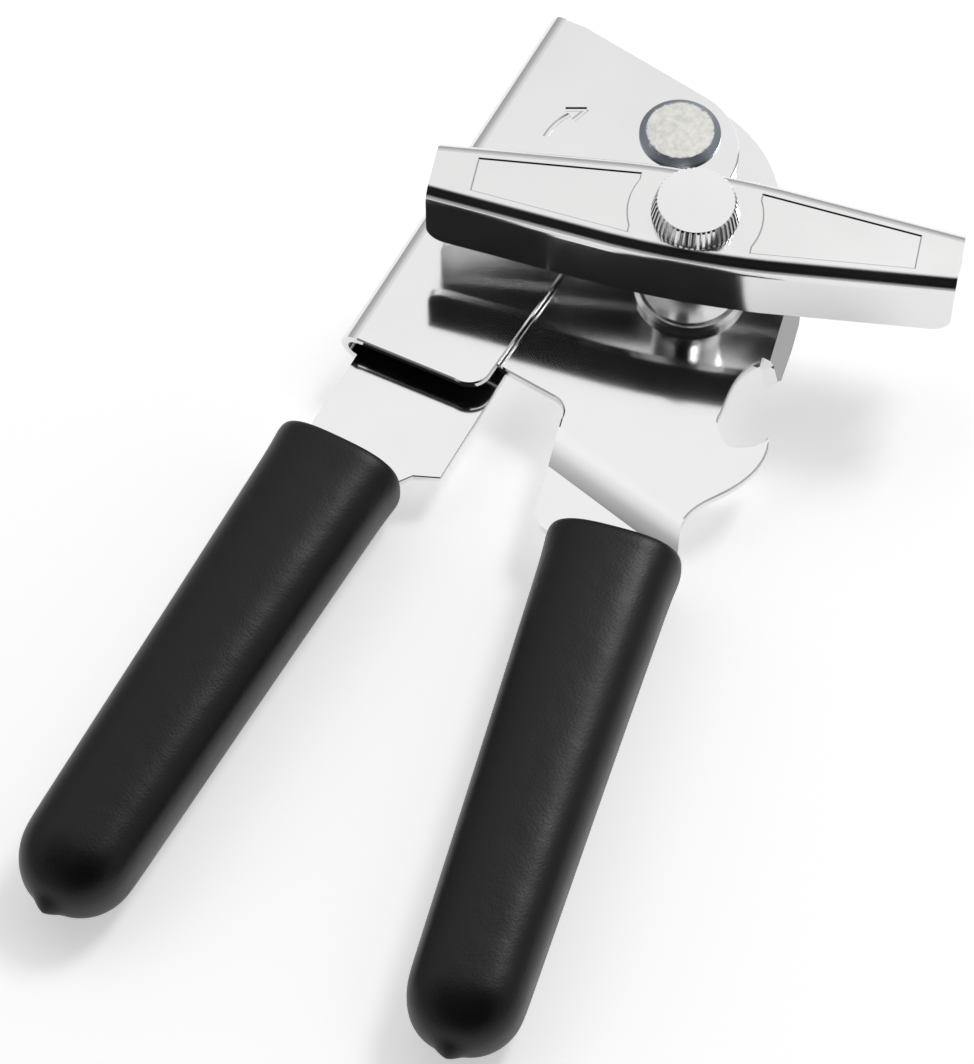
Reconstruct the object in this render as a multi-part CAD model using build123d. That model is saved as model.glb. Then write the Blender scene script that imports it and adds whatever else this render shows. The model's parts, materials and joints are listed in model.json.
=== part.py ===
from build123d import *
import os
from math import atan2, cos, degrees, hypot, pi, radians, sin, sqrt, tan

# Manual can opener, millimetres and degrees.
# It is modelled about the handle pivot: the pivot axis is X = Y = 0, Z = 0 is the top face of the
# lever plate, +Z is the crank's side and -Y runs down the frame's handle. At the end all pieces
# move together, so that the origin is under the middle of the whole object, on its resting plane.

# ---- sheets and their levels
LEVER_SHEET = 1.5
FRAME_SHEET = 1.3
FRONT_GAP = 0.5          # lever plate to the frame's front sheet
BACK_GAP = 1.4           # lever plate to the frame's back sheet
FRONT_LOW = FRONT_GAP
FRONT_TOP = FRONT_LOW + FRAME_SHEET
BACK_TOP = -LEVER_SHEET - BACK_GAP
BACK_LOW = BACK_TOP - FRAME_SHEET

# ---- handle pivot
PIVOT_SHANK_R = 4.0
PIVOT_BUSH_R = 5.5
PIVOT_HEAD_R = 6.95
PIVOT_HEAD_H = 1.3
PIVOT_BEVEL_H = 0.8
PIVOT_BEVEL_W = 1.15
PIVOT_TAIL_R = 5.6
PIVOT_TAIL_H = 1.0
PIVOT_WASHER_R = 7.5
PIVOT_WASHER_T = 0.6
SPRING_WASHER_T = 0.8
RUNNING = 0.05           # radial play of a turning fit
RECESS_WALL = 50.0       # slope of a pressed recess's walls, from upright
EDGE_BREAK = 0.25        # chamfer along the seen edges of the pressed sheets
UNDER_BREAK = 0.15       # chamfer along their other edges
REACH = 250.0            # longer than the whole object, for shapes that only cut
PLAY = 0.1               # end play between turning faces

# ---- drive shaft and cutter places: both are as far from the pivot, so the gears stay in phase
DRIVE_X = 15.2
DRIVE_Y = -26.0
DRIVE_REACH = hypot(DRIVE_X, DRIVE_Y)
DRIVE_ANGLE = degrees(atan2(DRIVE_Y, DRIVE_X))
CLOSE_ANGLE = 10.0       # lever turn from rest to closed handles
OPEN_ANGLE = 10.0        # lever turn from rest to wide open

# ---- gears
GEAR_TEETH = 14
GEAR_MODULE = 1.35
GEAR_PRESSURE = 20.0
GEAR_ADDENDUM = 0.7      # of the module
GEAR_DEDENDUM = 1.15     # of the module
GEAR_BACKLASH = 0.2      # off each tooth at the pitch circle
GEAR_T = 1.4
GEAR_GAP = 0.3           # back sheet to gear
GEAR_R = GEAR_TEETH * GEAR_MODULE / 2
GEAR_TOP = BACK_LOW - GEAR_GAP
GEAR_LOW = GEAR_TOP - GEAR_T
CUTTER_SPREAD = 2 * degrees(atan2(GEAR_R, sqrt(DRIVE_REACH ** 2 - GEAR_R ** 2)))
CUTTER_ANGLE = DRIVE_ANGLE - CLOSE_ANGLE - CUTTER_SPREAD
CUTTER_X = DRIVE_REACH * cos(radians(CUTTER_ANGLE))
CUTTER_Y = DRIVE_REACH * sin(radians(CUTTER_ANGLE))
MESH_ANGLE = degrees(atan2(DRIVE_Y - CUTTER_Y, DRIVE_X - CUTTER_X))

# ---- feed wheel and cutter wheel
FEED_R = 9.1
FEED_T = 2.2
FEED_TEETH = 26
FEED_TOOTH_H = 0.9
FEED_LOW = GEAR_LOW - FEED_T
WHEEL_OVERLAP = 0.4      # cutter rim past the feed wheel's rim, handles closed
WHEEL_GAP = 0.5          # feed wheel face to cutter face
CUTTER_R = 2 * GEAR_R - FEED_R + WHEEL_OVERLAP
CUTTER_T = 1.0
CUTTER_BEVEL = 2.6       # width of the ground bevel
CUTTER_TOP = FEED_LOW - WHEEL_GAP
CUTTER_LOW = CUTTER_TOP - CUTTER_T
CUTTER_HUB_R = 5.0
CUTTER_SLEEVE_R = 3.6
CUTTER_EDGE = 0.15       # flat left at the blade's rim
CUTTER_STUD_R = 2.5
CUTTER_HEAD_R = 4.2
CUTTER_FLANGE_R = 4.0
CUTTER_FLANGE_T = 1.0

# ---- drive shaft, bearing and nut
SHAFT_R = 4.0
SHAFT_DRIVE_R = 3.4      # below the bearing, where gear and feed wheel are keyed
SHAFT_DRIVE_FLAT = 2.6   # flats of the keyed length, from the axis
BEARING_BORE_R = SHAFT_R + RUNNING
BEARING_NECK_R = 7.0
BEARING_TAIL_R = 6.0
BEARING_FLANGE_R = 9.5
BEARING_FLANGE_T = 1.1
BEARING_STEP_R = 8.8
BEARING_STEP_T = 0.9
BEARING_CONE_R = 8.2
BEARING_CONE_TOP_R = 6.1
BEARING_CONE_H = 6.6
BEARING_TOP = 10.8
BEARING_RING_R = 9.0
BEARING_RING_T = 1.0
COLLAR_CLEAR = 0.3       # bearing flange to the frame's front sheet, at all lever angles
TAIL_CLEAR = 0.5         # bearing tail to the frame's back sheet, at all lever angles
GEAR_WASHER_R = 5.6
GEAR_WASHER_T = 0.5
NUT_FLATS = 9.0
NUT_H = 2.5

# ---- crank
CRANK_LENGTH = 87.3
CRANK_TURN = 16.1        # its angle from +X at rest
CRANK_TOP = 22.3
CRANK_FLANGE_LOW = 9.8
CRANK_SHEET = 1.25
CRANK_MID_HALF = 9.25
CRANK_SHOULDER_X = 13.0
CRANK_SHOULDER_HALF = 8.75
CRANK_END_HALF = 5.7
CRANK_BEND_R = 2.4
CRANK_CORNER_R = 3.0
CRANK_SLOPE = (CRANK_SHOULDER_HALF - CRANK_END_HALF) / (CRANK_LENGTH / 2 - CRANK_SHOULDER_X)
CRANK_BORE_FLAT = 3.0
PANEL_NEAR = 13.2        # panel ends, from the shaft axis
PANEL_FAR = 36.5
PANEL_MARGIN = 3.3       # panel side to crank side
PANEL_HOLLOW = 2.0       # how far a panel's near end curves in
PANEL_DEPTH = 0.2
SPACER_R = 6.0
KNOB_R = 7.3
KNOB_H = 3.5
KNOB_CHAMFER = 0.25
KNOB_TAPER = 0.9         # its top's size to its foot's
KNURLS = 48
KNURL_DEPTH = 0.42

# ---- frame outline
FOLD_X = -28.3           # centre line of the fold
FOLD_TOP = 12.5
FOLD_LOW = -62.0
FRONT_CORNER_R = 4.0
FRONT_CREST_X = 0.4      # where the top edge turns into the round corner
FRONT_CREST_Y = 9.2
FRONT_SIDE_X = 11.6
FRONT_SIDE_Y = -3.1
TANG_LEFT = FOLD_X - 0.2
TANG_RIGHT = -4.7
TANG_SHOULDER_Y = -76.5
TANG_HALF = 7.0          # half width inside a grip
TANG_INSET = 9.0         # grip's end to the tang's end

# ---- lever outline
LEVER_HEAD_R = 24.4
LEVER_HEAD_X = -0.5
LEVER_HEAD_Y = -15.2
LEVER_LEFT = -11.5
LEVER_LOW = -54.6
FIN_TOP = (29.0, -19.5)  # ends of the fin's bend line
FIN_FOOT = (32.0, -33.4)
FIN_REACH = 4.2          # bend line to the fin's outer edge
FIN_DROP = 40.0          # bend of the fin below the plate
JOGGLE_X = 19.0          # a point of the crease where the lever steps down to its grip
JOGGLE_Y = -69.3
JOGGLE_TURN = -13.0      # the crease's angle from +X
JOGGLE_LENGTH = 6.5
JOGGLE_DROP = 0.8

# ---- grips
GRIP_LENGTH = 92.0
GRIP_THICK = 16.4
GRIP_MOUTH_WIDTH = 22.7
GRIP_WAIST_WIDTH = 21.2
GRIP_MIDDLE_WIDTH = 19.7
GRIP_END_WIDTH = 18.6
GRIP_WAIST = 15.0
GRIP_MIDDLE = 50.0
GRIP_CORNER = 6.4
GRIP_END_R = 6.0
FRAME_GRIP_X = -20.3
FRAME_GRIP_Y = -81.4
FRAME_GRIP_TURN = -0.6
LEVER_GRIP_X = 26.8
LEVER_GRIP_Y = -75.2
LEVER_GRIP_TURN = 11.7
NUT_LOW = FEED_LOW - NUT_H
GRIP_LEVEL = NUT_LOW + GRIP_THICK / 2    # both grips and the nut rest on one plane

# ---- arrow pressed into the front sheet, showing which way to turn the crank
ARROW_X = -10.0          # centre of its curve
ARROW_Y = -10.5
ARROW_R = 10.0
ARROW_START = 184.0      # angles of its tail and of its head's base
ARROW_STOP = 148.0
ARROW_WIDTH = 0.4        # of a groove's floor
ARROW_HEAD = 3.2         # length of its head
ARROW_SPREAD = 2.6       # width of its head
ARROW_DEPTH = 0.22


def disc(radius, low, high, x=0.0, y=0.0):
    """A cylinder between two levels."""
    return Pos(x, y, low) * extrude(Circle(radius), high - low)


def ring(outer, inner, low, high, x=0.0, y=0.0):
    """A tube between two levels."""
    return disc(outer, low, high, x, y) - disc(inner, low - 1, high + 1, x, y)


def slab(outline, low, high):
    """A flat plate with a closed outline, between two levels."""
    return Pos(0, 0, low) * extrude(make_face(outline), high - low)


def broken(sheet, level, size, fold_x=None):
    """A sheet with the sharp outline edges of one face broken, except along a fold."""
    def picked(edge):
        box = edge.bounding_box()
        on_level = abs(box.min.Z - level) < 0.001 and abs(box.max.Z - level) < 0.001
        on_fold = fold_x is not None and abs(box.min.X - fold_x) + abs(box.max.X - fold_x) < 0.001
        return on_level and not on_fold
    return chamfer(sheet.edges().filter_by(picked), size)


def polar(reach, angle):
    """The point at a distance and an angle from the origin."""
    return reach * cos(radians(angle)), reach * sin(radians(angle))


def drive_at(turn):
    """Where the drive shaft is when the lever has turned by this angle."""
    return polar(DRIVE_REACH, DRIVE_ANGLE + turn)


def drive_sweep(radius, low, high):
    """The room that a round piece on the drive shaft takes while the lever moves."""
    sweep = None
    steps = 11
    for step in range(steps + 1):
        x, y = drive_at(-CLOSE_ANGLE + (CLOSE_ANGLE + OPEN_ANGLE) * step / steps)
        one = disc(radius, low, high, x, y)
        sweep = one if sweep is None else sweep + one
    return sweep


def grip_place(x, y, turn):
    """A frame at a grip's mouth whose +Z runs down the grip, +X to its right side."""
    down = Vector(sin(radians(turn)), -cos(radians(turn)), 0)
    across = Vector(cos(radians(turn)), sin(radians(turn)), 0)
    return Plane(origin=(x, y, GRIP_LEVEL), x_dir=across, z_dir=down)


FRAME_GRIP = grip_place(FRAME_GRIP_X, FRAME_GRIP_Y, FRAME_GRIP_TURN)
LEVER_GRIP = grip_place(LEVER_GRIP_X, LEVER_GRIP_Y, LEVER_GRIP_TURN)


def tang_point(place, along, across):
    """A point of a tang's outline, along and across its grip's axis."""
    point = place.from_local_coords((across, 0, along))
    return point.X, point.Y


def tang_end(place):
    """The outline of a tang inside its grip, from its left side to its right side."""
    low = GRIP_LENGTH - TANG_INSET
    cut = TANG_HALF - 2
    return [
        tang_point(place, low - 4, -TANG_HALF),
        tang_point(place, low, -cut),
        tang_point(place, low, cut),
        tang_point(place, low - 4, TANG_HALF),
    ]


def front_sheet():
    """The frame's front sheet, with a round corner by the pivot and a bay for the bearing."""
    crest = (FRONT_CREST_X, FRONT_CREST_Y)
    side = (FRONT_SIDE_X, FRONT_SIDE_Y)
    top = Polyline((FOLD_X, FOLD_TOP), (-24.7, FOLD_TOP + 0.2), crest)
    corner = TangentArc(crest, side, tangent=(25.1, -3.7))
    edge = Polyline(side, (11.9, -8.0), (-4.4, -32.5), (-5.7, -57.0))
    low_corner = RadiusArc((-5.7, -57.0), (-10.4, FOLD_LOW + 0.75), FRONT_CORNER_R)
    base = Polyline((-10.4, FOLD_LOW + 0.75), (FOLD_X, FOLD_LOW), (FOLD_X, FOLD_TOP))
    sheet = slab(top + corner + edge + low_corner + base, FRONT_LOW, FRONT_TOP)
    sheet = broken(sheet, FRONT_TOP, EDGE_BREAK, FOLD_X)
    sheet = broken(sheet, FRONT_LOW, UNDER_BREAK, FOLD_X)
    return sheet - drive_sweep(BEARING_FLANGE_R + COLLAR_CLEAR, FRONT_LOW - 1, FRONT_TOP + 1)


def back_sheet():
    """The frame's back sheet, which carries the cutter and runs on as the tang of its grip."""
    start = (FOLD_X, FOLD_TOP)
    neck_right = tang_point(FRAME_GRIP, 3, TANG_HALF)
    neck_left = tang_point(FRAME_GRIP, 0, -TANG_HALF)
    outline = Polyline(
        start, (-2.0, 9.6), (7.0, 7.0), (9.4, 0.0), (8.0, -7.5), (1.5, -17.0), (0.8, -38.0),
        (TANG_RIGHT, -45.0), (TANG_RIGHT, TANG_SHOULDER_Y), (TANG_RIGHT - 4.2, TANG_SHOULDER_Y - 1.8),
        neck_right, *reversed(tang_end(FRAME_GRIP)), neck_left, (TANG_LEFT, TANG_SHOULDER_Y - 0.2),
        (TANG_LEFT, FOLD_LOW), (FOLD_X, FOLD_LOW), start,
    )
    sheet = slab(outline, BACK_LOW, BACK_TOP)
    sheet = broken(sheet, BACK_TOP, UNDER_BREAK, FOLD_X)
    sheet = broken(sheet, BACK_LOW, UNDER_BREAK, FOLD_X)
    return sheet - drive_sweep(BEARING_TAIL_R + TAIL_CLEAR, BACK_LOW - 1, BACK_TOP + 1)


def fold():
    """The half-round fold that joins the two sheets along the frame's left side."""
    outer = (FRONT_TOP - BACK_LOW) / 2
    inner = outer - FRAME_SHEET
    middle = (FRONT_TOP + BACK_LOW) / 2
    half = Plane(origin=(FOLD_X, FOLD_LOW, middle), x_dir=(1, 0, 0), z_dir=(0, 1, 0))
    section = Circle(outer) - Circle(inner) - Pos(outer, 0) * Rectangle(2 * outer, 4 * outer)
    return extrude(half * section, FOLD_TOP - FOLD_LOW)


def groove_section():
    """A groove's section, on a sheet's top face: a narrow floor and two sloping walls."""
    half = ARROW_WIDTH / 2
    wall = half + 2 * ARROW_DEPTH * tan(radians(RECESS_WALL))
    high = 2 * ARROW_DEPTH
    return Polyline((-half, 0), (half, 0), (wall, high), (-wall, high), close=True)


def groove(start, stop):
    """A straight groove between two points of the front sheet."""
    along = (Vector(*stop, 0) - Vector(*start, 0)).normalized()
    across = (-along.Y, along.X, 0)
    plane = Plane(origin=(*start, 0), x_dir=across, z_dir=along)
    return extrude(plane * make_face(groove_section()), (Vector(*stop, 0) - Vector(*start, 0)).length)


def arrow_mark():
    """A plain curved arrow, pressed into the front sheet: a curved groove and two for its head."""
    section = Plane.XZ * Pos(ARROW_R, 0) * make_face(groove_section())
    shaft = Rot(0, 0, ARROW_STOP) * revolve(section, Axis.Z, ARROW_START - ARROW_STOP)
    tip = polar(ARROW_R, ARROW_STOP - degrees(ARROW_HEAD / ARROW_R))
    wing_in = polar(ARROW_R - ARROW_SPREAD / 2, ARROW_STOP)
    wing_out = polar(ARROW_R + ARROW_SPREAD / 2, ARROW_STOP)
    head = groove(wing_in, tip) + groove(wing_out, tip)
    return Pos(ARROW_X, ARROW_Y, FRONT_TOP - ARROW_DEPTH) * (shaft + head)


def frame_plate():
    """The folded frame, with holes for the pivot rivet and the cutter stud."""
    plate = front_sheet() + back_sheet() + fold() - arrow_mark()
    plate -= disc(PIVOT_SHANK_R, BACK_LOW - 1, FRONT_TOP + 1)
    return plate - disc(CUTTER_STUD_R, BACK_LOW - 1, BACK_TOP + 1, CUTTER_X, CUTTER_Y)


def fin():
    """The bent-down fin beside the bottle opener's throat, as a plate tilted about its bend line."""
    top = Vector(*FIN_TOP, 0)
    foot = Vector(*FIN_FOOT, 0)
    along = (foot - top).normalized()
    length = (foot - top).length
    outward = Vector(-along.Y, along.X, 0)
    tilt = radians(FIN_DROP)
    face_x = outward * cos(tilt) + Vector(0, 0, -sin(tilt))
    plane = Plane(origin=top, x_dir=face_x, z_dir=face_x.cross(along))
    sign = 1 if plane.y_dir.dot(along) > 0 else -1
    root = -1.2
    points = [(root, 0), (FIN_REACH - 0.8, 0.4), (FIN_REACH - 0.1, 4), (FIN_REACH, length - 5),
              (FIN_REACH - 0.3, length + 1.4), (FIN_REACH - 1, length + 1.9), (1.6, length - 0.2),
              (root, length + root)]
    outline = Polyline(*[(x, sign * y) for x, y in points], close=True)
    plate = extrude(plane * make_face(outline), LEVER_SHEET, both=True)
    return Pos(0, 0, -LEVER_SHEET / 2) * plate


def lever_outline():
    """The closed outline of the lever: head, fin side, bottle opener, shoulder and tang."""
    head_left = (LEVER_LEFT, LEVER_HEAD_Y + sqrt(LEVER_HEAD_R ** 2 - (LEVER_LEFT - LEVER_HEAD_X) ** 2))
    head_right = (20.6, -2.9)
    head = RadiusArc(head_left, head_right, LEVER_HEAD_R)
    side = Polyline(head_right, (27.6, -12.5), FIN_TOP, FIN_FOOT)
    throat = Spline(FIN_FOOT, (30.4, -36.7), (30.2, -41.0), (30.7, -45.4))
    cup = Spline((30.7, -45.4), (31.4, -48.0), (34.2, -50.0), (37.2, -49.1), (39.6, -45.6))
    back = Spline((39.6, -45.6), (40.8, -50.2), (38.2, -58.4), (35.3, -63.2), (34.6, -67.6))
    grip_right = tang_point(LEVER_GRIP, -1.0, 10.0)
    neck_right = tang_point(LEVER_GRIP, 3.0, TANG_HALF)
    neck_left = tang_point(LEVER_GRIP, 3.0, -TANG_HALF)
    tang = Polyline(
        (34.6, -67.6), grip_right, neck_right, *reversed(tang_end(LEVER_GRIP)), neck_left,
        (14.4, -77.8), (12.6, -76.6), (8.1, -58.6),
    )
    shoulder = RadiusArc((8.1, -58.6), (4.9, -55.4), -3.2)
    low = Polyline((4.9, -55.4), (LEVER_LEFT, LEVER_LOW + 0.5), head_left)
    return head + side + throat + cup + back + tang + shoulder + low


def lever_sheet():
    """The lever's sheet, stepped down by an easy bend and a crease before it enters its grip."""
    turn = radians(JOGGLE_TURN)
    plane = Plane(origin=(JOGGLE_X, JOGGLE_Y, 0), x_dir=(sin(turn), -cos(turn), 0),
                  z_dir=(-cos(turn), -sin(turn), 0))
    faces = []
    for level in (0, -LEVER_SHEET):
        start = (-JOGGLE_LENGTH, level)
        crease = (0, level - JOGGLE_DROP)
        flat = Line((-REACH, level), start) + TangentArc(start, crease, tangent=(1, 0))
        faces.append(flat + Line(crease, (REACH, level - JOGGLE_DROP)))
    far_low = -LEVER_SHEET - JOGGLE_DROP
    ends = Line((-REACH, 0), (-REACH, -LEVER_SHEET)) + Line((REACH, -JOGGLE_DROP), (REACH, far_low))
    bent = extrude(plane * make_face(faces[0] + faces[1] + ends), REACH, both=True)
    stepped = bent & slab(lever_outline(), far_low - 1, 1)
    flat = broken(slab(lever_outline(), -LEVER_SHEET, 0), 0, EDGE_BREAK)
    past_bend = plane * Pos(REACH / 2 - JOGGLE_LENGTH, 0) * Box(REACH, REACH, 2 * REACH)
    return (flat - past_bend) + (stepped & past_bend)


def lever_plate():
    """The lever, with a hole for the pivot bush and a hole for the drive bearing."""
    plate = lever_sheet() + fin()
    plate -= Pos(0, 0, REACH / 2) * Box(REACH, REACH, REACH)
    plate -= disc(PIVOT_BUSH_R + RUNNING, -LEVER_SHEET - 1, 1)
    return plate - disc(BEARING_NECK_R, -LEVER_SHEET - 1, 1, DRIVE_X, DRIVE_Y)


def grip(place):
    """A moulded grip, before its tang's slot is cut."""
    stations = [(0.0, GRIP_MOUTH_WIDTH), (GRIP_WAIST, GRIP_WAIST_WIDTH),
                (GRIP_MIDDLE, GRIP_MIDDLE_WIDTH), (GRIP_LENGTH, GRIP_END_WIDTH)]
    sections = []
    for along, width in stations:
        sections.append(place.offset(along) * RectangleRounded(width, GRIP_THICK, GRIP_CORNER))
    body = loft(sections)
    end = body.faces().sort_by_distance(place.from_local_coords((0, 0, GRIP_LENGTH)))[0]
    return fillet(end.edges(), GRIP_END_R)


def frame_grip():
    return grip(FRAME_GRIP) - back_sheet()


def lever_grip():
    return grip(LEVER_GRIP) - lever_sheet()


def pivot_rivet():
    """The rivet that the lever swings about, with a bevelled flat head on the front."""
    low = BACK_LOW - PIVOT_WASHER_T - PIVOT_TAIL_H
    head = chamfer(
        disc(PIVOT_HEAD_R, FRONT_TOP, FRONT_TOP + PIVOT_HEAD_H).edges().sort_by(Axis.Z)[-1],
        PIVOT_BEVEL_H, PIVOT_BEVEL_W)
    tail = disc(PIVOT_TAIL_R, low, low + PIVOT_TAIL_H)
    tail = fillet(tail.edges().sort_by(Axis.Z)[0], PIVOT_TAIL_H * 0.8)
    return head + disc(PIVOT_SHANK_R, low + PIVOT_TAIL_H / 2, FRONT_TOP + PIVOT_HEAD_H / 2) + tail


def pivot_bush():
    return ring(PIVOT_BUSH_R, PIVOT_SHANK_R, BACK_TOP, FRONT_LOW)


def pivot_front_washer():
    return ring(PIVOT_WASHER_R, PIVOT_BUSH_R, PLAY / 2, FRONT_LOW)


def pivot_spring_washer():
    """The dished washer that takes up the play between lever and back sheet."""
    high = -LEVER_SHEET - PLAY / 2
    rim = PIVOT_WASHER_R + 1.0
    profile = Polyline(
        (PIVOT_BUSH_R, high), (PIVOT_BUSH_R, high - SPRING_WASHER_T), (rim, BACK_TOP),
        (rim, BACK_TOP + SPRING_WASHER_T), (PIVOT_BUSH_R, high),
    )
    return revolve(Plane.XZ * make_face(profile), Axis.Z)


def pivot_rear_washer():
    return ring(PIVOT_WASHER_R, PIVOT_SHANK_R, BACK_LOW - PIVOT_WASHER_T, BACK_LOW)


def drive_bearing():
    """The bell-shaped bearing of the drive shaft, pressed through the lever plate."""
    step_low = BEARING_FLANGE_T
    cone_low = step_low + BEARING_STEP_T
    cone_top = cone_low + BEARING_CONE_H
    tail_low = GEAR_TOP + GEAR_WASHER_T
    outer = Polyline(
        (BEARING_BORE_R, tail_low), (BEARING_TAIL_R, tail_low), (BEARING_TAIL_R, -LEVER_SHEET),
        (BEARING_NECK_R, -LEVER_SHEET), (BEARING_NECK_R, 0),
        (BEARING_FLANGE_R, 0), (BEARING_FLANGE_R, step_low), (BEARING_STEP_R, step_low + 0.35),
        (BEARING_STEP_R, cone_low), (BEARING_CONE_R, cone_low),
    )
    flare = Spline((BEARING_CONE_R, cone_low), (BEARING_CONE_TOP_R + 0.9, cone_low + 0.4 * BEARING_CONE_H),
                   (BEARING_CONE_TOP_R, cone_top))
    neck = Polyline((BEARING_CONE_TOP_R, cone_top), (BEARING_CONE_TOP_R, BEARING_TOP),
                    (BEARING_BORE_R, BEARING_TOP), (BEARING_BORE_R, tail_low))
    body = revolve(Plane.XZ * make_face(outer + flare + neck), Axis.Z)
    return Pos(DRIVE_X, DRIVE_Y, 0) * body


def bearing_ring():
    """The ring swaged onto the bearing's tail under the lever plate."""
    low = -LEVER_SHEET - BEARING_RING_T
    return ring(BEARING_RING_R, BEARING_TAIL_R, low, -LEVER_SHEET, DRIVE_X, DRIVE_Y)


def flatted(radius, flat, low, high, x, y, turn=0.0):
    """A round bar with two flats, which keys a wheel or the crank."""
    bar = disc(radius, low, high) & Pos(0, 0, (low + high) / 2) * Box(2 * flat, 4 * radius, high - low)
    return Pos(x, y, 0) * Rot(0, 0, turn) * bar


def drive_shaft():
    """The shaft from the crank to the nut: journal, two keyed lengths and a shoulder."""
    crank_low = CRANK_TOP - CRANK_SHEET
    crank_key = flatted(SHAFT_R, CRANK_BORE_FLAT, crank_low, CRANK_TOP, DRIVE_X, DRIVE_Y, CRANK_TURN)
    journal = disc(SHAFT_R, GEAR_TOP + GEAR_WASHER_T / 2, crank_low, DRIVE_X, DRIVE_Y)
    key = flatted(SHAFT_DRIVE_R, SHAFT_DRIVE_FLAT, FEED_LOW, GEAR_TOP + GEAR_WASHER_T / 2, DRIVE_X, DRIVE_Y)
    end = disc(SHAFT_DRIVE_FLAT, NUT_LOW, FEED_LOW, DRIVE_X, DRIVE_Y)
    return crank_key + journal + key + end


def crank_knob():
    """The knurled head that holds the crank on the shaft."""
    outline = []
    for step in range(KNURLS):
        for part, radius in ((0.0, KNOB_R), (0.22, KNOB_R), (0.5, KNOB_R - KNURL_DEPTH), (0.78, KNOB_R)):
            angle = 2 * pi * (step + part) / KNURLS
            outline.append((radius * cos(angle), radius * sin(angle)))
    low = make_face(Polyline(*outline, close=True))
    high = make_face(Polyline(*[(x * KNOB_TAPER, y * KNOB_TAPER) for x, y in outline], close=True))
    body = loft([low, Pos(0, 0, KNOB_H) * high], ruled=True)
    blank = Cone(KNOB_R, KNOB_R * KNOB_TAPER, KNOB_H, align=(Align.CENTER, Align.CENTER, Align.MIN))
    blank = chamfer(blank.edges().filter_by(GeomType.CIRCLE), KNOB_CHAMFER)
    return Pos(DRIVE_X, DRIVE_Y, CRANK_TOP) * (body & blank)


def crank_outline(inset, overrun):
    """The crank's plan, moved in from its sides by an inset and run on past its ends."""
    end_x = CRANK_LENGTH / 2 + overrun
    end_half = CRANK_END_HALF - inset - CRANK_SLOPE * overrun
    half = CRANK_SHOULDER_HALF - inset
    middle = CRANK_MID_HALF - inset
    x = CRANK_SHOULDER_X
    top = ThreePointArc((-x, half), (0, middle), (x, half))
    right = Polyline((x, half), (end_x, end_half), (end_x, -end_half), (x, -half))
    bottom = ThreePointArc((x, -half), (0, -middle), (-x, -half))
    left = Polyline((-x, -half), (-end_x, -end_half), (-end_x, end_half), (-x, half))
    return make_face(top + right + bottom + left)


def long_edges_at(body, level):
    """The edges along the crank's two long sides at one level."""
    edges = body.edges().filter_by(lambda edge: abs(edge.center().Z - level) < 0.01)
    return edges.filter_by(lambda edge: abs(edge.center().Y) > 0.5 * CRANK_END_HALF)


def crank_block(inset, high, bend, overrun):
    """A solid bar with the crank's plan and rounded upper edges."""
    low = CRANK_FLANGE_LOW - overrun
    body = Pos(0, 0, low) * extrude(crank_outline(inset, overrun), high - low)
    return fillet(long_edges_at(body, high), bend)


def panel(side):
    """One long shallow panel pressed into an arm of the crank, hollow towards the knob."""
    far_half = CRANK_END_HALF + CRANK_SLOPE * (CRANK_LENGTH / 2 - PANEL_FAR) - PANEL_MARGIN
    near_x = PANEL_NEAR - PANEL_HOLLOW - 1
    near_half = CRANK_SHOULDER_HALF - PANEL_MARGIN + 0.3
    outline = make_face(Polyline((near_x, -near_half), (PANEL_FAR, -far_half), (PANEL_FAR, far_half),
                                 (near_x, near_half), (near_x, -near_half)))
    outline = outline - Circle(PANEL_NEAR - PANEL_HOLLOW)
    if side < 0:
        outline = mirror(outline, Plane.YZ)
    return Pos(0, 0, CRANK_TOP - PANEL_DEPTH) * extrude(outline, 2 * PANEL_DEPTH, taper=-RECESS_WALL)


def crank_handle():
    """The crank: a pressed channel, open below and at its ends, keyed on the shaft."""
    outer = crank_block(0, CRANK_TOP, CRANK_BEND_R, 0)
    inner = crank_block(CRANK_SHEET, CRANK_TOP - CRANK_SHEET, CRANK_BEND_R - CRANK_SHEET, 2)
    body = outer - inner
    low_ends = body.edges().filter_by(Axis.Y).filter_by(
        lambda edge: abs(edge.center().Z - CRANK_FLANGE_LOW) < 0.01)
    body = fillet(low_ends, CRANK_CORNER_R)
    body -= panel(1) + panel(-1)
    body -= flatted(SHAFT_R, CRANK_BORE_FLAT, CRANK_TOP - 2 * CRANK_SHEET, CRANK_TOP + 1, 0, 0)
    return Pos(DRIVE_X, DRIVE_Y, 0) * Rot(0, 0, CRANK_TURN) * body


def crank_spacer():
    """The sleeve between the bearing and the crank."""
    return ring(SPACER_R, SHAFT_R, BEARING_TOP + PLAY, CRANK_TOP - CRANK_SHEET, DRIVE_X, DRIVE_Y)


def involute(angle):
    return tan(angle) - angle


def tooth_flank(radius):
    """Half of a tooth's angular width at a radius, for an involute tooth."""
    pressure = radians(GEAR_PRESSURE)
    base = GEAR_R * cos(pressure)
    half_at_pitch = (pi * GEAR_MODULE / 2 - GEAR_BACKLASH) / (2 * GEAR_R)
    if radius <= base:
        return half_at_pitch + involute(pressure)
    local = atan2(sqrt(radius ** 2 - base ** 2), base)
    return half_at_pitch + involute(pressure) - involute(local)


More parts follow.
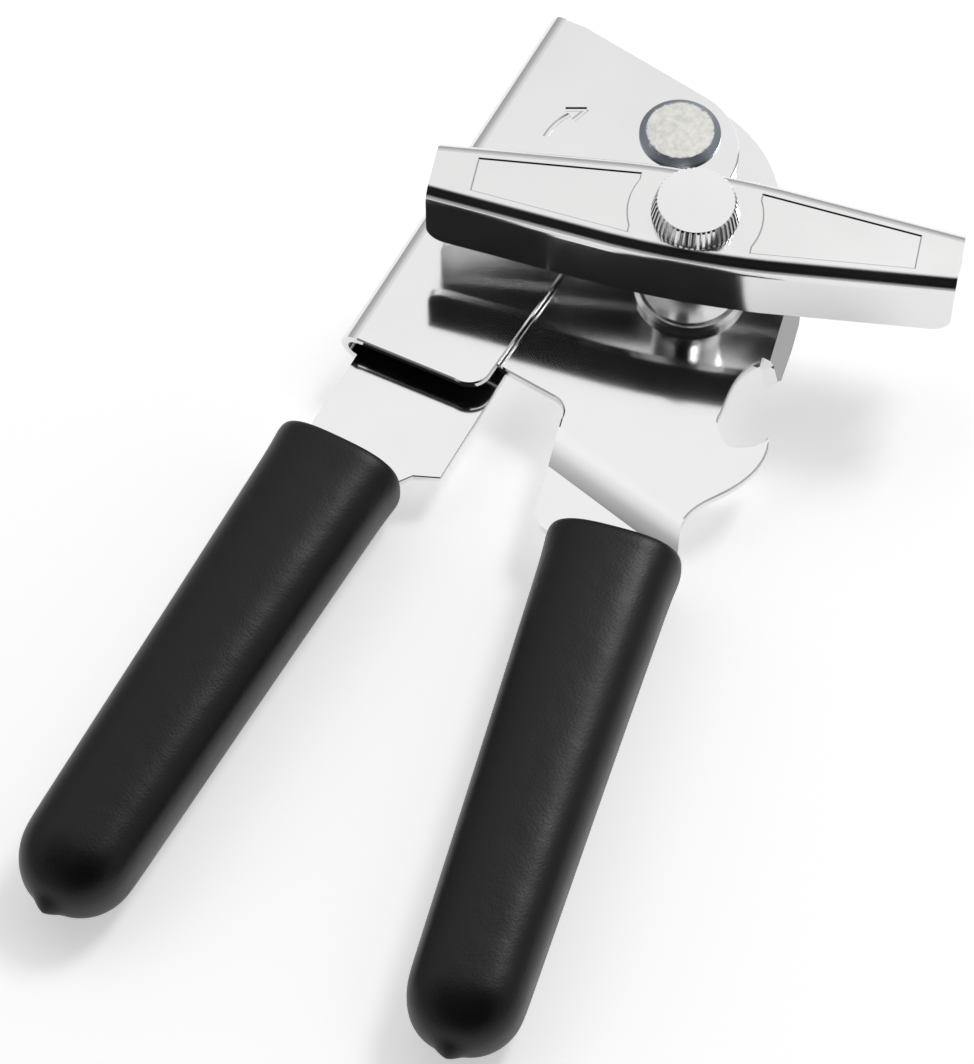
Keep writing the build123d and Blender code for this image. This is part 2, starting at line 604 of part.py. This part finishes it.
def gear(x, y, first_tooth):
    """A flat gear whose first tooth points at an angle."""
    root = GEAR_R - GEAR_DEDENDUM * GEAR_MODULE
    tip = GEAR_R + GEAR_ADDENDUM * GEAR_MODULE
    base = GEAR_R * cos(radians(GEAR_PRESSURE))
    radii = [root, base, (base + GEAR_R) / 2, GEAR_R, (GEAR_R + tip) / 2, tip]
    outline = []
    for tooth in range(GEAR_TEETH):
        middle = radians(first_tooth) + 2 * pi * tooth / GEAR_TEETH
        for radius in radii:
            angle = middle - tooth_flank(radius)
            outline.append((radius * cos(angle), radius * sin(angle)))
        for radius in reversed(radii):
            angle = middle + tooth_flank(radius)
            outline.append((radius * cos(angle), radius * sin(angle)))
    return Pos(x, y, GEAR_LOW) * extrude(make_face(Polyline(*outline, close=True)), GEAR_T)


def drive_gear():
    body = gear(DRIVE_X, DRIVE_Y, MESH_ANGLE + 180)
    return body - flatted(SHAFT_DRIVE_R, SHAFT_DRIVE_FLAT, GEAR_LOW - 1, GEAR_TOP + 1, DRIVE_X, DRIVE_Y)


def gear_washer():
    """The thrust washer between the bearing's tail and the drive gear."""
    return ring(GEAR_WASHER_R, SHAFT_R, GEAR_TOP, GEAR_TOP + GEAR_WASHER_T - PLAY, DRIVE_X, DRIVE_Y)


def feed_wheel():
    """The serrated wheel that walks along under the can's rim."""
    outline = []
    for tooth in range(FEED_TEETH):
        for part, radius in ((0.0, FEED_R), (0.16, FEED_R), (0.58, FEED_R - FEED_TOOTH_H)):
            angle = 2 * pi * (tooth + part) / FEED_TEETH
            outline.append((radius * cos(angle), radius * sin(angle)))
    body = Pos(DRIVE_X, DRIVE_Y, FEED_LOW) * extrude(make_face(Polyline(*outline, close=True)), FEED_T)
    return body - flatted(SHAFT_DRIVE_R, SHAFT_DRIVE_FLAT, FEED_LOW - 1, GEAR_LOW + 1, DRIVE_X, DRIVE_Y)


def drive_nut():
    hexagon = RegularPolygon(NUT_FLATS / 2, 6, major_radius=False)
    body = Pos(DRIVE_X, DRIVE_Y, NUT_LOW) * extrude(hexagon, NUT_H)
    return body - disc(SHAFT_DRIVE_FLAT, NUT_LOW - 1, FEED_LOW + 1, DRIVE_X, DRIVE_Y)


def cutter_stud():
    """The shouldered stud that the cutter turns on, riveted into the back sheet."""
    flange = disc(CUTTER_FLANGE_R, BACK_TOP, BACK_TOP + CUTTER_FLANGE_T, CUTTER_X, CUTTER_Y)
    shank = disc(CUTTER_STUD_R, NUT_LOW, BACK_TOP + CUTTER_FLANGE_T / 2, CUTTER_X, CUTTER_Y)
    head = disc(CUTTER_HEAD_R, NUT_LOW, CUTTER_LOW - PLAY, CUTTER_X, CUTTER_Y)
    return flange + shank + head


def cutter_washer():
    """The thin washer that keeps the cutter gear off the back sheet."""
    return ring(CUTTER_HUB_R, CUTTER_STUD_R, GEAR_TOP + PLAY / 2, BACK_LOW, CUTTER_X, CUTTER_Y)


def cutter_gear():
    half_pitch = 180 / GEAR_TEETH
    body = gear(CUTTER_X, CUTTER_Y, MESH_ANGLE + half_pitch)
    return body - disc(CUTTER_SLEEVE_R, GEAR_LOW - 1, GEAR_TOP + 1, CUTTER_X, CUTTER_Y)


def cutter_sleeve():
    """The sleeve that joins the cutter gear and the cutter wheel, with a collar between them."""
    bore = CUTTER_STUD_R + RUNNING
    body = disc(CUTTER_SLEEVE_R, CUTTER_LOW, GEAR_TOP, CUTTER_X, CUTTER_Y)
    body += disc(CUTTER_HUB_R, CUTTER_TOP, GEAR_LOW, CUTTER_X, CUTTER_Y)
    return body - disc(bore, CUTTER_LOW - 1, GEAR_TOP + 1, CUTTER_X, CUTTER_Y)


def cutter_wheel():
    """The round blade, ground on its outer face to an edge at the feed wheel's side."""
    profile = Polyline(
        (CUTTER_SLEEVE_R, CUTTER_TOP), (CUTTER_R, CUTTER_TOP), (CUTTER_R, CUTTER_TOP - CUTTER_EDGE),
        (CUTTER_R - CUTTER_BEVEL, CUTTER_LOW), (CUTTER_SLEEVE_R, CUTTER_LOW), (CUTTER_SLEEVE_R, CUTTER_TOP),
    )
    return Pos(CUTTER_X, CUTTER_Y, 0) * revolve(Plane.XZ * make_face(profile), Axis.Z)


PIECES = {
    "frame_plate": frame_plate,
    "frame_grip": frame_grip,
    "pivot_rivet": pivot_rivet,
    "pivot_bush": pivot_bush,
    "pivot_front_washer": pivot_front_washer,
    "pivot_spring_washer": pivot_spring_washer,
    "pivot_rear_washer": pivot_rear_washer,
    "cutter_stud": cutter_stud,
    "cutter_washer": cutter_washer,
    "lever_plate": lever_plate,
    "lever_grip": lever_grip,
    "drive_bearing": drive_bearing,
    "bearing_ring": bearing_ring,
    "crank_handle": crank_handle,
    "crank_knob": crank_knob,
    "crank_spacer": crank_spacer,
    "drive_shaft": drive_shaft,
    "gear_washer": gear_washer,
    "drive_gear": drive_gear,
    "feed_wheel": feed_wheel,
    "drive_nut": drive_nut,
    "cutter_gear": cutter_gear,
    "cutter_sleeve": cutter_sleeve,
    "cutter_wheel": cutter_wheel,
}

built = {name: make() for name, make in PIECES.items()}
whole = Compound(children=[solid for piece in built.values() for solid in piece.solids()]).bounding_box()
home = Pos(-(whole.min.X + whole.max.X) / 2, -(whole.min.Y + whole.max.Y) / 2, -whole.min.Z)
os.makedirs("parts", exist_ok=True)
for name, piece in built.items():
    export_step(home * Compound(children=list(piece.solids())), f"parts/{name}.step")
print("pivot axis at", tuple(round(value, 4) for value in home.position))
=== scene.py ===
import json
from math import cos, pi, radians, sin

import bmesh
import bpy
from mathutils import Matrix, Vector


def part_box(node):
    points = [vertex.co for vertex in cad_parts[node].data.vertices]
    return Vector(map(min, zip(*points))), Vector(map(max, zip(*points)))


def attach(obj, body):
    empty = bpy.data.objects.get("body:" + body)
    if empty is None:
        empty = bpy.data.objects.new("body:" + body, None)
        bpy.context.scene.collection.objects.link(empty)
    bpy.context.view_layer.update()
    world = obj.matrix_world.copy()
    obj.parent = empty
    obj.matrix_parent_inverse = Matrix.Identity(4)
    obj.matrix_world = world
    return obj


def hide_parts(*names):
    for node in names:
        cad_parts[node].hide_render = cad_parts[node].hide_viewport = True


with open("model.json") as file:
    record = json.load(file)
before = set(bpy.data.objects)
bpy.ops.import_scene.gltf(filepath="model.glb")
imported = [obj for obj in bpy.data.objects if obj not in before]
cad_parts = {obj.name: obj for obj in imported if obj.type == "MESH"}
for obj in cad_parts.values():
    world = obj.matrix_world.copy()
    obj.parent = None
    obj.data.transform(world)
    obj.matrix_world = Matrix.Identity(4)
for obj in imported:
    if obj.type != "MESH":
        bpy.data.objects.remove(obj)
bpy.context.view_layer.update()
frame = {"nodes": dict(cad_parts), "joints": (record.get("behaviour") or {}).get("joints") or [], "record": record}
MM = 0.001

# ---------------------------------------------------------------- places taken from the frame
JOINTS = {joint["name"]: Vector(joint["pos_m"]) for joint in frame["joints"]}
PIVOT = JOINTS["handle_pivot"]        # on the lever plate's top face

# ---------------------------------------------------------------- camera
CAMERA_AZIMUTH = 28.42
CAMERA_ELEVATION = 59.7
CAMERA_ROLL = 0.2
CAMERA_DISTANCE = 709.7 * MM
CAMERA_TARGET = PIVOT + Vector((7.6, -83.4, 0)) * MM
SENSOR = 36.0                         # millimetres, as is the lens
LENS = 148.87
CLIP_NEAR = 0.01
CLIP_FAR = 20


def make_camera():
    """The camera, from its angles, its distance and the point it looks at; gives its direction."""
    azimuth, elevation, roll = (radians(a) for a in (CAMERA_AZIMUTH, CAMERA_ELEVATION, CAMERA_ROLL))
    level = Vector((-sin(azimuth), cos(azimuth), 0))
    forward = level * cos(elevation) + Vector((0, 0, -sin(elevation)))
    right = Vector((cos(azimuth), sin(azimuth), 0))
    up = right.cross(forward)
    rolled_right = right * cos(roll) - up * sin(roll)
    rolled_up = right * sin(roll) + up * cos(roll)
    data = bpy.data.cameras.new("camera")
    data.sensor_width = SENSOR
    data.lens = LENS
    data.clip_start = CLIP_NEAR
    data.clip_end = CLIP_FAR
    camera = bpy.data.objects.new("camera", data)
    bpy.context.scene.collection.objects.link(camera)
    turn = Matrix((rolled_right, rolled_up, -forward)).transposed().to_4x4()
    camera.matrix_world = Matrix.Translation(CAMERA_TARGET - forward * CAMERA_DISTANCE) @ turn
    bpy.context.scene.camera = camera
    return forward


# ---------------------------------------------------------------- node helpers
def new_material(name):
    """An empty material whose principled shader is already joined to its output."""
    material = bpy.data.materials.new(name)
    material.use_nodes = True
    tree = material.node_tree
    tree.nodes.clear()
    output = tree.nodes.new("ShaderNodeOutputMaterial")
    shader = tree.nodes.new("ShaderNodeBsdfPrincipled")
    tree.links.new(shader.outputs["BSDF"], output.inputs["Surface"])
    return material, tree, shader


def place_coords(tree, scale):
    """Object coordinates in metres, scaled per axis."""
    coords = tree.nodes.new("ShaderNodeTexCoord")
    mapping = tree.nodes.new("ShaderNodeMapping")
    mapping.inputs["Scale"].default_value = scale
    tree.links.new(coords.outputs["Object"], mapping.inputs["Vector"])
    return mapping


def noise_texture(tree, mapping, scale, detail, rough):
    """Noise from 0 to 1; scale is in waves per metre, roughly."""
    texture = tree.nodes.new("ShaderNodeTexNoise")
    texture.inputs["Scale"].default_value = scale
    texture.inputs["Detail"].default_value = detail
    texture.inputs["Roughness"].default_value = rough
    tree.links.new(mapping.outputs["Vector"], texture.inputs["Vector"])
    return texture.outputs["Fac"]


def value_range(tree, source, low, high, from_low, from_high):
    """Spreads the source's range over another one, and stops at its ends."""
    node = tree.nodes.new("ShaderNodeMapRange")
    node.inputs["From Min"].default_value = from_low
    node.inputs["From Max"].default_value = from_high
    node.inputs["To Min"].default_value = low
    node.inputs["To Max"].default_value = high
    tree.links.new(source, node.inputs["Value"])
    return node.outputs["Result"]


def colour_ramp(tree, source, low, high, start=0.3, stop=0.7):
    """Two colours, mixed by the source between start and stop."""
    ramp = tree.nodes.new("ShaderNodeValToRGB")
    ramp.color_ramp.elements[0].position = start
    ramp.color_ramp.elements[0].color = (*low, 1)
    ramp.color_ramp.elements[1].position = stop
    ramp.color_ramp.elements[1].color = (*high, 1)
    tree.links.new(source, ramp.inputs["Fac"])
    return ramp.outputs["Color"]


def bump(tree, source, height, under=None):
    """A bump of this height in metres, on top of another one if that is given."""
    node = tree.nodes.new("ShaderNodeBump")
    node.inputs["Distance"].default_value = height
    node.inputs["Strength"].default_value = 1.0
    tree.links.new(source, node.inputs["Height"])
    if under is not None:
        tree.links.new(under, node.inputs["Normal"])
    return node.outputs["Normal"]


# ---------------------------------------------------------------- materials
RIVET_FACE_R = 5.7 * MM               # the flat of the pivot rivet's head, inside its bevel
RIVET_RIM = 0.4 * MM                  # how far that flat's edge wanders
PATCH_SCALE = 55                      # steel's patches of tint and roughness
WAVE_SCALE = 28                       # and its slow waviness
SOFT_EDGE = radians(35)               # on the turned bearing, edges below this are shaded smooth


def metal(name, colour, rough, spread, grain=(1, 1, 1), grain_scale=900, grain_height=0.0, wave=0.0):
    """Plated or turned steel: a mirror broken by fine grain, slow waviness and patchy roughness."""
    material, tree, shader = new_material(name)
    place = place_coords(tree, (1, 1, 1))
    fine_place = place_coords(tree, grain)
    patches = noise_texture(tree, place, PATCH_SCALE, 4, 0.6)
    fine = noise_texture(tree, fine_place, grain_scale, 3, 0.6)
    tint = colour_ramp(tree, patches, tuple(c * 0.965 for c in colour), colour)
    tree.links.new(tint, shader.inputs["Base Color"])
    roughness = value_range(tree, patches, rough - spread, rough + spread, 0.3, 0.7)
    tree.links.new(roughness, shader.inputs["Roughness"])
    shader.inputs["Metallic"].default_value = 1.0
    normal = bump(tree, fine, grain_height) if grain_height else None
    if wave:
        slow = noise_texture(tree, place, WAVE_SCALE, 1, 0.4)
        normal = bump(tree, slow, wave, under=normal)
    if normal:
        tree.links.new(normal, shader.inputs["Normal"])
    return material


def rivet_metal(name):
    """A rivet's plating: a dull, mottled face with a ragged rim, and a bevel painted darker and bluish as a
    painted reflection of dim surroundings.
    """
    material, tree, shader = new_material(name)
    place = place_coords(tree, (1, 1, 1))
    mottle = noise_texture(tree, place, 900, 5, 0.65)
    ragged = noise_texture(tree, place, 1500, 3, 0.6)
    flat = tree.nodes.new("ShaderNodeVectorMath")
    flat.operation = "MULTIPLY"
    flat.inputs[1].default_value = (1, 1, 0)
    tree.links.new(place.outputs["Vector"], flat.inputs[0])
    reach = tree.nodes.new("ShaderNodeVectorMath")
    reach.operation = "DISTANCE"
    reach.inputs[1].default_value = (PIVOT.x, PIVOT.y, 0)
    tree.links.new(flat.outputs["Vector"], reach.inputs[0])
    rim = tree.nodes.new("ShaderNodeMath")
    rim.operation = "ADD"
    tree.links.new(reach.outputs["Value"], rim.inputs[0])
    tree.links.new(value_range(tree, ragged, -RIVET_RIM, RIVET_RIM, 0.3, 0.7), rim.inputs[1])
    # mask of the bevel ring beyond the face, where the painted reflection goes
    painted_shade_bevel_mask = value_range(tree, rim.outputs["Value"], 0, 1, RIVET_FACE_R - 0.1 * MM, RIVET_FACE_R + 0.2 * MM)
    face_tint = colour_ramp(tree, mottle, (0.56, 0.555, 0.53), (0.74, 0.735, 0.70), 0.35, 0.65)
    mix = tree.nodes.new("ShaderNodeMix")
    mix.data_type = "RGBA"
    tree.links.new(painted_shade_bevel_mask, mix.inputs[0])
    tree.links.new(face_tint, mix.inputs[6])
    # painted reflection: the bevel's darker bluish colour stands in for the dim surroundings it mirrors
    mix.inputs[7].default_value = (0.30, 0.33, 0.38, 1)
    tree.links.new(mix.outputs[2], shader.inputs["Base Color"])
    tree.links.new(value_range(tree, mottle, 0.42, 0.30, 0.35, 0.65), shader.inputs["Roughness"])
    shader.inputs["Metallic"].default_value = 0.92
    tree.links.new(bump(tree, mottle, 0.00003), shader.inputs["Normal"])
    return material


def vinyl(name):
    """Black dipped vinyl: satin, with a faint pebble and dusty patches."""
    material, tree, shader = new_material(name)
    place = place_coords(tree, (1, 1, 1))
    patches = noise_texture(tree, place, 70, 4, 0.6)
    pebble = noise_texture(tree, place, 2200, 2, 0.5)
    ripple = noise_texture(tree, place, 160, 2, 0.5)
    tint = colour_ramp(tree, patches, (0.0025, 0.0025, 0.003), (0.005, 0.005, 0.0055))
    tree.links.new(tint, shader.inputs["Base Color"])
    tree.links.new(value_range(tree, patches, 0.34, 0.43, 0.3, 0.7), shader.inputs["Roughness"])
    shader.inputs["Specular IOR Level"].default_value = 0.32
    normal = bump(tree, pebble, 0.00003)
    normal = bump(tree, ripple, 0.00012, under=normal)
    tree.links.new(normal, shader.inputs["Normal"])
    return material


MATERIALS = {
    "chromed_sheet": metal("chromed_sheet", (0.83, 0.83, 0.835), 0.095, 0.015,
                           grain_height=0.0000012, wave=0.000006),
    "satin_sheet": metal("satin_sheet", (0.82, 0.818, 0.815), 0.15, 0.02, (1, 8, 1), 500, 0.000004),
    "plated_rivet": rivet_metal("plated_rivet"),
    "turned_steel": metal("turned_steel", (0.66, 0.66, 0.67), 0.24, 0.05, grain_height=0.000003),
    "spring_steel": metal("spring_steel", (0.42, 0.42, 0.44), 0.3, 0.05, grain_height=0.000003),
    "bright_turned": metal("bright_turned", (0.80, 0.80, 0.81), 0.22, 0.03, grain_height=0.000002),
    "knurled_steel": metal("knurled_steel", (0.84, 0.84, 0.84), 0.16, 0.04, grain_height=0.000004),
    "gear_steel": metal("gear_steel", (0.58, 0.58, 0.59), 0.3, 0.06, grain_height=0.000006),
    "tool_steel": metal("tool_steel", (0.62, 0.62, 0.63), 0.2, 0.05, grain_height=0.000003),
    "black_vinyl": vinyl("black_vinyl"),
}


def paint_cad():
    """Each CAD node gets the material of its record slot."""
    for entry in frame["record"]["subparts"]:
        node = frame["nodes"][entry["node"]]
        node.data.materials.clear()
        node.data.materials.append(MATERIALS[entry["material_slot"]])
        if entry["node"] == "drive_bearing":
            node.data.shade_smooth()
            node.data.set_sharp_from_angle(angle=SOFT_EDGE)


# ---------------------------------------------------------------- grips
GRIP_LENGTH = 92.0
GRIP_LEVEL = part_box("frame_grip")[0].z / 2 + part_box("frame_grip")[1].z / 2
RING_POINTS = 40
# mouth: its place in millimetres from the pivot; turn: the grip's angle from straight down
GRIPS = {
    "frame_grip": {"mouth": (-20.3, -81.4), "turn": -0.6, "body": "frame"},
    "lever_grip": {"mouth": (26.8, -75.2), "turn": 11.4, "body": "lever"},
}
# a grip's sections, in millimetres: distance from the mouth, width, thickness
STATIONS = [
    (0.0, 21.6, 15.2), (0.5, 22.5, 15.9), (1.6, 22.8, 16.2), (3.2, 22.5, 16.1), (6.0, 22.1, 16.1),
    (11.0, 21.8, 16.2), (20.0, 21.4, 16.4), (34.0, 20.7, 16.4), (50.0, 20.0, 16.3), (66.0, 19.4, 16.2),
    (78.0, 18.9, 16.0),
]
NIB = [(0.1, 3.8, 3.4), (0.6, 2.2, 2.0)]      # the drip left at the end by dipping
NIB_TIP = 1.1
NIB_CORNER = 2.0
CORNER = 2.9                # how square a section is: 2 is an ellipse
END_ROUND = 9.5             # length of the rounded end
END_SHORT = 0.5             # the rounded end stops this far before the grip's full length
END_WIDTH = 18.7
END_THICK = 15.9
END_STEPS = 7
END_NARROWS = 1.75          # width lost for each millimetre that the end has rounded in
END_THINS = 1.45            # thickness lost in the same way
END_ROUNDS = 0.7            # how much less square the last section is
MOUTH_WIDTH = 22.0
MOUTH_THICK = 15.4
MOUTH_DEPTH = 4.0
LIP = 2.2                   # wall at the mouth


def ring_point(width, thick, corner, index):
    """A point of a rounded-rectangle section, evenly spread by angle."""
    angle = 2 * pi * index / RING_POINTS
    power = 2.0 / corner
    c, s = cos(angle), sin(angle)
    x = abs(c) ** power * (1 if c >= 0 else -1) * width / 2
    z = abs(s) ** power * (1 if s >= 0 else -1) * thick / 2
    return x, z


def grip_mesh(name, mouth, turn, body):
    """A dipped vinyl grip: one closed skin of rings from its socket, over the lip, to the drip."""
    down = Vector((sin(radians(turn)), -cos(radians(turn)), 0))
    across = Vector((cos(radians(turn)), sin(radians(turn)), 0))
    start = Vector((PIVOT.x, PIVOT.y, GRIP_LEVEL)) + Vector((*mouth, 0)) * MM
    mesh = bmesh.new()

    def ring(along, width, thick, corner=CORNER):
        verts = []
        for index in range(RING_POINTS):
            x, z = ring_point(width, thick, corner, index)
            verts.append(mesh.verts.new(start + (down * along + across * x + Vector((0, 0, z))) * MM))
        return verts

    # the socket's floor, its wall up to the mouth, and the rolled lip's crest
    rings = [
        ring(MOUTH_DEPTH, MOUTH_WIDTH - 2 * LIP, MOUTH_THICK - 2 * LIP),
        ring(0.3, MOUTH_WIDTH - 2 * LIP, MOUTH_THICK - 2 * LIP),
        ring(-0.15, MOUTH_WIDTH - 1.4 * LIP, MOUTH_THICK - 1.4 * LIP),
    ]
    rings += [ring(*station) for station in STATIONS]
    end_start = GRIP_LENGTH - END_SHORT - END_ROUND
    for step in range(END_STEPS):
        angle = 0.5 * pi * step / END_STEPS
        shrink = END_ROUND * (1 - cos(angle))
        rings.append(ring(
            end_start + END_ROUND * sin(angle),
            END_WIDTH - END_NARROWS * shrink,
            END_THICK - END_THINS * shrink,
            CORNER - END_ROUNDS * step / END_STEPS,
        ))
    for along, width, thick in NIB:
        rings.append(ring(GRIP_LENGTH + along, width, thick, NIB_CORNER))
    for first, second in zip(rings, rings[1:]):
        for index in range(RING_POINTS):
            after = (index + 1) % RING_POINTS
            mesh.faces.new((first[index], first[after], second[after], second[index]))
    mesh.faces.new(list(reversed(rings[0])))
    tip = mesh.verts.new(start + down * (GRIP_LENGTH + NIB_TIP) * MM)
    last = rings[-1]
    for index in range(RING_POINTS):
        mesh.faces.new((last[index], last[(index + 1) % RING_POINTS], tip))
    bmesh.ops.recalc_face_normals(mesh, faces=mesh.faces)
    data = bpy.data.meshes.new(name + "_vinyl")
    mesh.to_mesh(data)
    mesh.free()
    for polygon in data.polygons:
        polygon.use_smooth = True
    piece = bpy.data.objects.new(name + "_vinyl", data)
    bpy.context.scene.collection.objects.link(piece)
    smooth = piece.modifiers.new("smooth", "SUBSURF")
    smooth.levels = 2
    smooth.render_levels = 2
    data.materials.append(MATERIALS["black_vinyl"])
    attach(piece, body)
    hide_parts(name)


# ---------------------------------------------------------------- stage and light
FLOOR_HALF = 3.0
FLOOR_WHITE = 0.9
FLOOR_GLOW = 0.46                     # lifts the paper to the white of a cut-out background


def make_floor():
    """A wide sheet of white paper under the object."""
    mesh = bpy.data.meshes.new("floor")
    half = FLOOR_HALF
    corners = [(-half, -half, 0), (half, -half, 0), (half, half, 0), (-half, half, 0)]
    mesh.from_pydata(corners, [], [(0, 1, 2, 3)])
    floor = bpy.data.objects.new("floor", mesh)
    bpy.context.scene.collection.objects.link(floor)
    material, tree, shader = new_material("floor_paper")
    shader.inputs["Base Color"].default_value = (FLOOR_WHITE, FLOOR_WHITE, FLOOR_WHITE, 1)
    shader.inputs["Roughness"].default_value = 0.9
    shader.inputs["Emission Color"].default_value = (1, 1, 1, 1)
    shader.inputs["Emission Strength"].default_value = FLOOR_GLOW
    mesh.materials.append(material)


# world brightness by the height of a direction (its z), away from the dark near side
SKY = [
    (0.0, 0.40), (0.31, 0.48), (0.52, 0.56), (0.78, 0.90),
    (0.83, 1.0), (0.90, 1.08), (0.945, 0.74), (1.0, 0.42),
]
SKY_STRENGTH = 1.1
NEAR_START = 0.62                     # the dark begins at this cosine from the camera's direction
NEAR_FULL = 0.80                      # and is complete at this one
NEAR_LIGHT = 0.012                    # the share of light left there

LIGHT_RISE = 20 * MM                  # lights aim at a point this far above the floor
SOFTBOX_SIDE = 0.4
SOFTBOX_AWAY = 1.6
SOFTBOX_POWER = 7
SOFTBOX_TOWARDS = (0.145, 0.598, 0.788)


def make_world(forward):
    """A white studio, darker near the horizon and black around the place where the photographer stands."""
    world = bpy.data.worlds.new("studio")
    bpy.context.scene.world = world
    world.use_nodes = True
    tree = world.node_tree
    tree.nodes.clear()
    output = tree.nodes.new("ShaderNodeOutputWorld")
    background = tree.nodes.new("ShaderNodeBackground")
    coords = tree.nodes.new("ShaderNodeTexCoord")
    dot = tree.nodes.new("ShaderNodeVectorMath")
    dot.operation = "DOT_PRODUCT"
    dot.inputs[1].default_value = (-forward).normalized()
    tree.links.new(coords.outputs["Generated"], dot.inputs[0])
    near = value_range(tree, dot.outputs["Value"], 1.0, NEAR_LIGHT, NEAR_START, NEAR_FULL)
    split = tree.nodes.new("ShaderNodeSeparateXYZ")
    tree.links.new(coords.outputs["Generated"], split.inputs[0])
    ramp = tree.nodes.new("ShaderNodeValToRGB")
    for _ in SKY[2:]:
        ramp.color_ramp.elements.new(0.5)
    for element, (height, light) in zip(ramp.color_ramp.elements, SKY):
        element.position = height
        level = light / SKY_STRENGTH
        element.color = (level, level, level, 1)
    tree.links.new(split.outputs["Z"], ramp.inputs["Fac"])
    tree.links.new(ramp.outputs["Color"], background.inputs["Color"])
    strength = tree.nodes.new("ShaderNodeMath")
    strength.operation = "MULTIPLY"
    strength.inputs[1].default_value = SKY_STRENGTH
    tree.links.new(near, strength.inputs[0])
    tree.links.new(strength.outputs["Value"], background.inputs["Strength"])
    tree.links.new(background.outputs["Background"], output.inputs["Surface"])


def area_light(name, direction, distance, size, power):
    """A softbox that stands off in a direction and faces the object."""
    data = bpy.data.lights.new(name, "AREA")
    data.shape = "RECTANGLE"
    data.size, data.size_y = size
    data.energy = power
    light = bpy.data.objects.new(name, data)
    bpy.context.scene.collection.objects.link(light)
    place = Vector(direction).normalized() * distance
    light.location = place + Vector((0, 0, LIGHT_RISE))
    light.rotation_euler = place.to_track_quat("Z", "Y").to_euler()


# ---------------------------------------------------------------- the scene
forward = make_camera()
make_world(forward)
make_floor()
area_light("far_softbox", SOFTBOX_TOWARDS, SOFTBOX_AWAY, (SOFTBOX_SIDE, SOFTBOX_SIDE), SOFTBOX_POWER)
paint_cad()
for grip_name, spec in GRIPS.items():
    grip_mesh(grip_name, **spec)

bpy.context.scene.view_settings.view_transform = "Standard"
bpy.context.scene.view_settings.look = "None"
